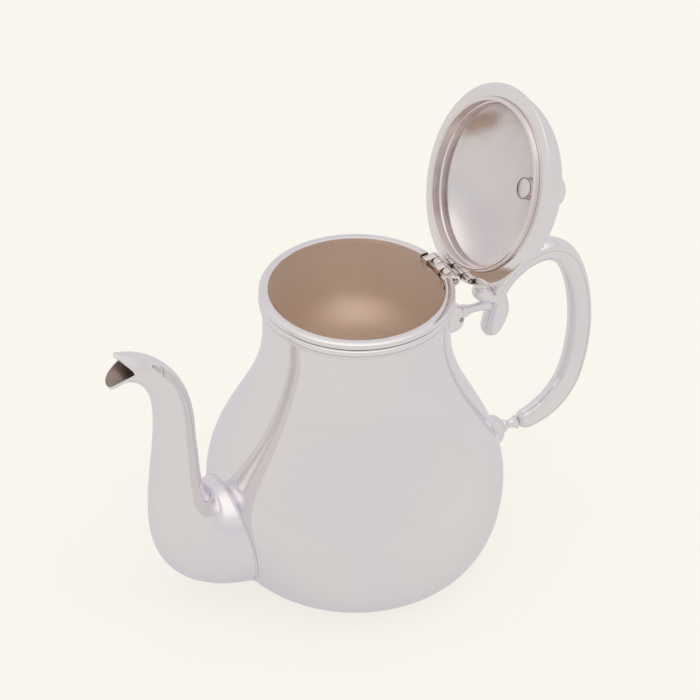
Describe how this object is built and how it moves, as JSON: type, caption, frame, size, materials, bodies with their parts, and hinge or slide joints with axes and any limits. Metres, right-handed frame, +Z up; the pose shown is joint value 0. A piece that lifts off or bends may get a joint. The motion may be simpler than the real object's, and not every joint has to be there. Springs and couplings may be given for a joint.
{
  "type": "teapot",
  "caption": "Pear-shaped silver teapot with a swan-neck spout, a hinged domed lid shown open, and a C-shaped handle pinned between two sockets.",
  "frame": {"origin": "centre of the flat base, on the table", "axes": "+Z up along the pot's turned axis, +X towards the handle, -X towards the spout, +Y to the pot's left when seen from the handle's side with the spout ahead"},
  "size_m": [0.2246, 0.1292, 0.2062],
  "materials": {
    "polished_silver": "mirror polished silver",
    "body_silver": "polished outside, fine-turned satin inside",
    "lid_silver": "polished outside, satin inside",
    "pin_steel": "drawn pin, ends filed flush"
  },
  "bodies": {
    "pot": {"rim_lip": "polished_silver", "rim_band": "polished_silver", "spout_left": "polished_silver", "spout_right": "polished_silver", "spout_root_wire": "polished_silver", "hinge_leaf_pot": "polished_silver", "hinge_knuckle_pot_near": "polished_silver", "hinge_knuckle_pot_middle": "polished_silver", "hinge_knuckle_pot_far": "polished_silver", "upper_socket": "polished_silver", "upper_stem": "polished_silver", "lower_socket": "polished_silver", "lower_stem": "polished_silver", "handle_back": "polished_silver", "handle_face": "polished_silver", "handle_scroll": "polished_silver", "body_shell": "body_silver", "hinge_pin": "pin_steel", "upper_socket_pin": "pin_steel", "lower_socket_pin": "pin_steel"},
    "lid": {"lid_dome": "lid_silver", "lid_lip": "polished_silver", "lid_step": "polished_silver", "lid_bezel": "lid_silver", "hinge_leaf_lid": "polished_silver", "hinge_knuckle_lid_near": "polished_silver", "hinge_knuckle_lid_far": "polished_silver", "finial": "polished_silver", "finial_nut": "lid_silver"}
  },
  "joints": [
    {"name": "lid_hinge", "type": "hinge", "parent": "pot", "child": "lid", "pos_m": [0.0406, 0, 0.1306], "axis": [0, 1, 0], "range_deg": [-110.6, 0]}
  ]
}
